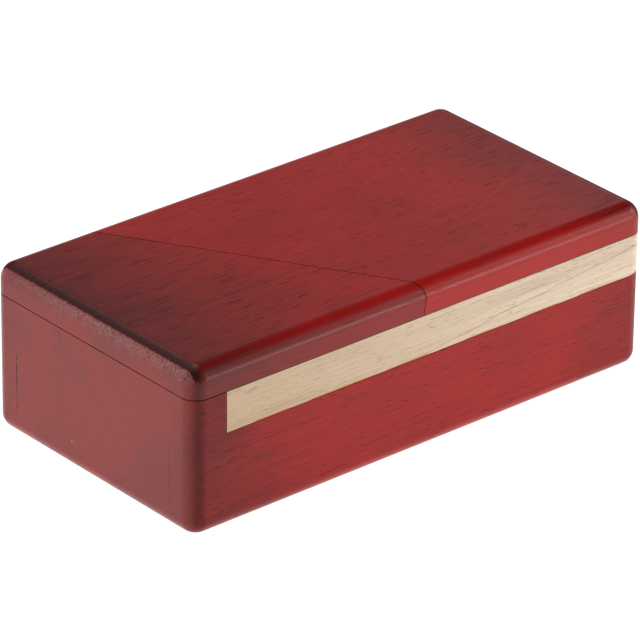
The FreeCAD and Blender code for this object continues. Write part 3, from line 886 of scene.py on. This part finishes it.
# %% Finished board
FLATS_FIRST = 100


def make_board(node, material, ease):
    """Finished copy of a packed board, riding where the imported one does."""
    mesh = shape_board(node, ease)
    mesh.materials.append(material)
    piece = bpy.data.objects.new(f"{node}_finished", mesh)
    bpy.context.scene.collection.objects.link(piece)
    even = piece.modifiers.new("even shading", "WEIGHTED_NORMAL")
    even.keep_sharp = True
    even.weight = FLATS_FIRST
    body = frame["nodes"][node]["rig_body"]
    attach(piece, body)
    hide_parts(node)
    return piece


print("flat faces decide the shading, weight", FLATS_FIRST)

# %% [markdown]
# ## All boards in place
# The two lid pieces are handled most, so their edges are eased by a tenth of a millimetre. The bar
# is planed to slide closely and keeps nearly sharp edges. One ease for all would be simpler, but
# the bar would then show a gap along its whole length, and the glued boards a groove at each joint
# that the glue has closed. So the bar has less of it and the glued boards have none.

# %% Boards
LID_EASE = 0.10 * MM
BAR_EASE = 0.03 * MM
LIDS = ("lid_wedge", "lid_main")
GLUED = (
    "floor_panel", "front_wall", "back_wall", "left_end_block", "right_end_block",
    "left_deck", "front_guide_rail", "back_rail", "right_rail",
)

pieces = [make_board(node, stained[node], LID_EASE) for node in LIDS]
pieces += [make_board(node, stained["body"], 0) for node in GLUED]
pieces.append(make_board("key_bar", pale_bar, BAR_EASE))
print("boards", [(piece.name, len(piece.data.polygons)) for piece in pieces])

# %% [markdown]
# ## The hidden pieces
# Dowels, runner, peg, pins and screws sit inside and are seen only when the box is open. They could
# be copied and eased like the boards, but at their size that would hardly show. So they keep their
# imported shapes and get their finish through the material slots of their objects.

# %% Hidden pieces
HIDDEN = {
    "frame_dowels": bare_wood, "corner_dowels": bare_wood, "bar_stop_peg": bare_wood,
    "wedge_runner": bare_wood, "runner_cap": bare_wood, "pivot_dowel": bare_wood,
    "runner_screws": steel, "pivot_washer": steel, "pivot_screw": steel,
    "bar_lock_pin": steel, "seam_lock_pin": steel,
}

for node, material in HIDDEN.items():
    for place in frame["nodes"][node].material_slots:
        place.material = material
print("hidden pieces dressed", len(HIDDEN))

# %% [markdown]
# ## The table
# The box stands on a white table that fills the view and throws light up at its sides. A grey table
# under strong lamps could look as white, but it would show the pool of every lamp. A white surface
# that glows by itself stays even, as in a light tent.

# %% Floor
FLOOR_SIZE = 6.0
FLOOR_TONE = (0.3, 0.3, 0.3, 1.0)
FLOOR_ROUGHNESS = 0.9
FLOOR_GLOW = 1.0
WHITE = (1.0, 1.0, 1.0, 1.0)


def make_floor():
    """White table top under the box."""
    shape = bmesh.new()
    bmesh.ops.create_grid(shape, x_segments=1, y_segments=1, size=FLOOR_SIZE / 2)
    mesh = bpy.data.meshes.new("table_top")
    shape.to_mesh(mesh)
    shape.free()
    floor = bpy.data.objects.new("table_top", mesh)
    material = bpy.data.materials.new("white table")
    material.use_nodes = True
    shader = material.node_tree.nodes["Principled BSDF"]
    shader.inputs["Base Color"].default_value = FLOOR_TONE
    shader.inputs["Roughness"].default_value = FLOOR_ROUGHNESS
    shader.inputs["Specular IOR Level"].default_value = 0.0
    shader.inputs["Emission Color"].default_value = WHITE
    shader.inputs["Emission Strength"].default_value = FLOOR_GLOW
    mesh.materials.append(material)
    bpy.context.scene.collection.objects.link(floor)
    return floor


floor = make_floor()
print("table", FLOOR_SIZE, "m wide")

# %% [markdown]
# ## Soft light
# Lacquer shows its lights as much as its colour. A softbox at the front right lights the front and
# the bar, one high at the back lights the lid, and two dim cards near the back give the lid its
# grey veil towards the far corner. A third card at the back left lights the end, and a narrow low
# strip draws the thin line along the front edge. One big light from above would be simpler, but it
# would wash out the lid and leave the roundings flat. Each lamp stands a metre off and is given by
# its turn from the front and its height, both in degrees, its width in metres and its power.

# %% Lights
LAMP_DISTANCE = 1.0
LAMP_AIM = Vector((0.0, 0.0, 0.02))
LAMPS = {
    "front_right_softbox": (62, 20, 0.45, 4.6),
    "low_strip": (36, 6, 0.14, 1.2),
    "high_back_softbox": (180, 68, 0.50, 5.2),
    "back_right_card": (137, 24, 0.50, 0.34),
    "far_right_card": (122, 20, 0.40, 0.20),
    "back_left_card": (215, 15, 0.50, 1.5),
}


def place_lamp(turn, height):
    """Place of a lamp around the box."""
    level = Vector((0.0, -math.cos(math.radians(height)), 0.0))
    away = Matrix.Rotation(math.radians(turn), 3, "Z") @ level
    return LAMP_DISTANCE * (away + Vector((0.0, 0.0, math.sin(math.radians(height)))))


def make_softbox(name, place, size, power):
    """Square area light that points at the box."""
    data = bpy.data.lights.new(name, "AREA")
    data.size = size
    data.energy = power
    light = bpy.data.objects.new(name, data)
    aim = (LAMP_AIM - place).to_track_quat("-Z", "Y")
    light.matrix_world = Matrix.Translation(place) @ aim.to_matrix().to_4x4()
    light.visible_camera = False
    bpy.context.scene.collection.objects.link(light)
    return light


for name, (turn, height, size, power) in LAMPS.items():
    make_softbox(name, place_lamp(turn, height), size, power)
print("lamps", list(LAMPS))

# %% [markdown]
# ## The room
# Around the table the room is nearly dark, as in a studio. A bright room could stand in for the
# lamps, but the lacquer would mirror it everywhere and turn grey. A trace of white keeps the
# shadows inside the open box from going black. Colours are shown as they are, without a film look.

# %% Room
ROOM_GLOW = 0.02


def make_room(glow):
    """Nearly dark room around the table."""
    room = bpy.data.worlds.new("room")
    room.use_nodes = True
    shader = room.node_tree.nodes["Background"]
    shader.inputs["Color"].default_value = WHITE
    shader.inputs["Strength"].default_value = glow
    bpy.context.scene.world = room
    return room


room = make_room(ROOM_GLOW)
bpy.context.scene.view_settings.view_transform = "Standard"
print("room glow", ROOM_GLOW)
